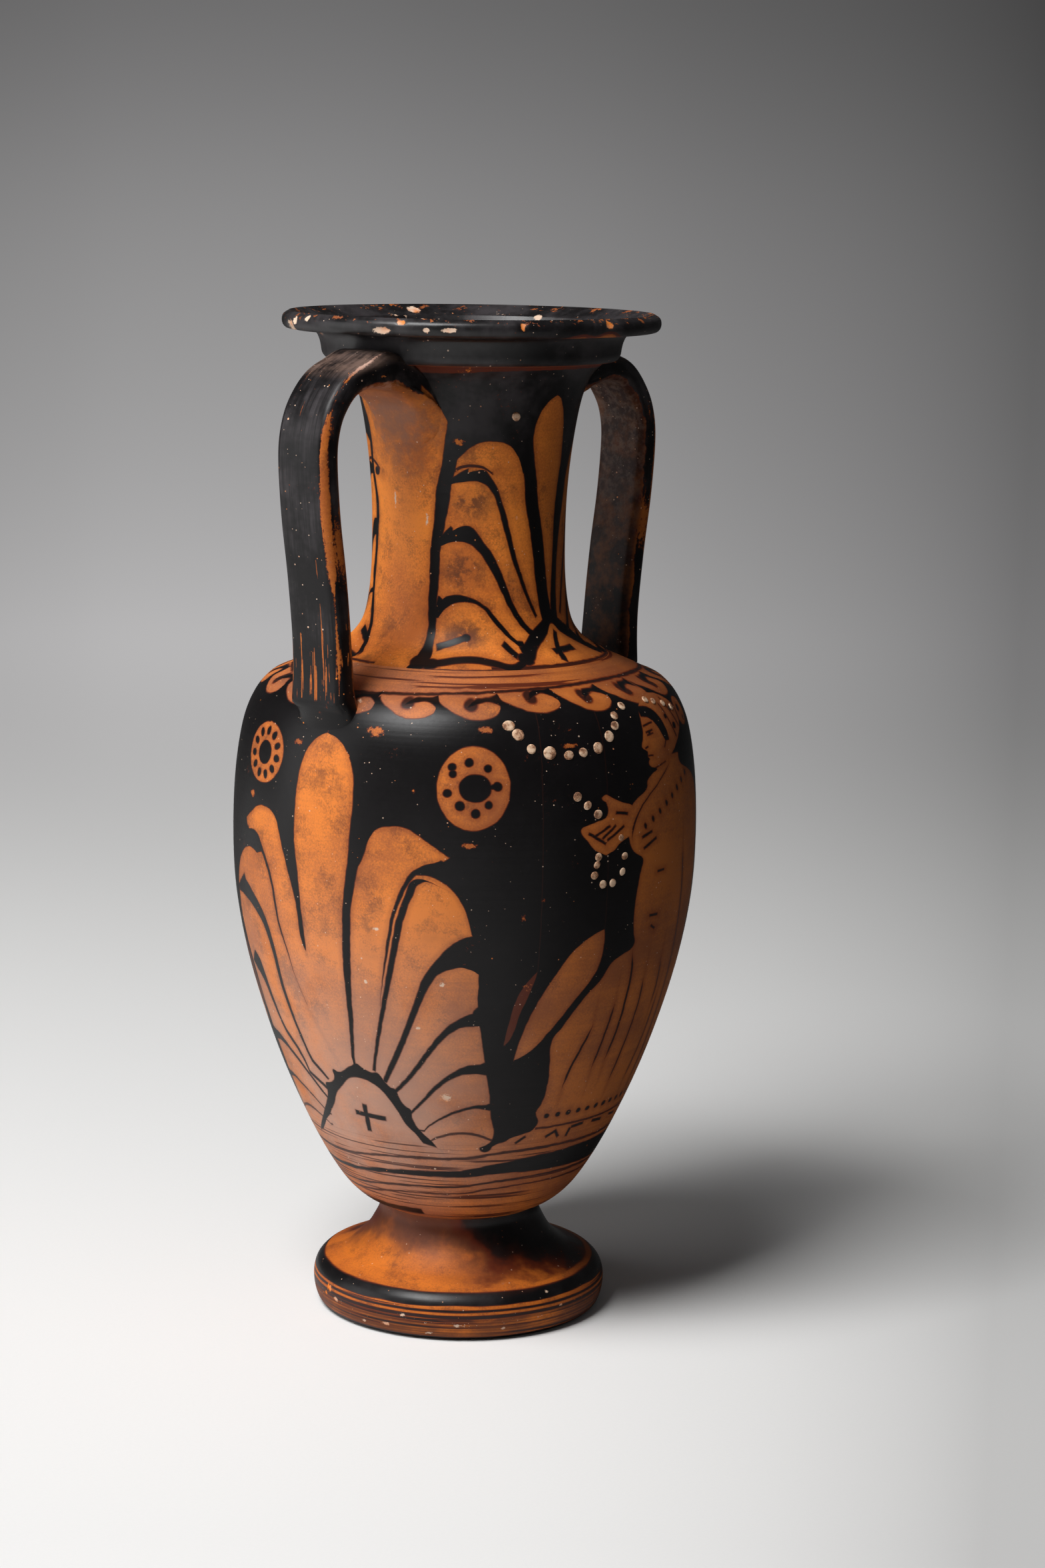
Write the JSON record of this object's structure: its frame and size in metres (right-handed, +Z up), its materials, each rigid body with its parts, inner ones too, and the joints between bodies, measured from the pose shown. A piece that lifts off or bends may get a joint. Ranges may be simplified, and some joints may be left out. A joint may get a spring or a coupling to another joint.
{
  "type": "neck amphora",
  "caption": "Two-handled storage jar with a set-off neck, an overhanging lip, strap handles and a rounded foot, thrown in separate pieces and luted together.",
  "frame": {"origin": "middle of the foot's resting face", "axes": "+Z up along the wheel axis, the handles stand along X, the painted sides face -Y and +Y"},
  "size_m": [0.1631, 0.152, 0.3292],
  "materials": {
    "foot_clay": "burnished orange clay with brown clouds and a glossy black band on the edge",
    "body_paint": "glossy black slip round reserved orange figures and palmettes",
    "neck_paint": "reserved orange clay with black brush strokes, black at the top",
    "mouth_gloss": "glossy black slip, chipped along the lip",
    "handle_gloss": "glossy black slip, worn to the clay along the edges"
  },
  "bodies": {
    "root": {"foot": "foot_clay", "body": "body_paint", "neck": "neck_paint", "mouth": "mouth_gloss", "handle_left": "handle_gloss", "handle_right": "handle_gloss"}
  },
  "joints": []
}
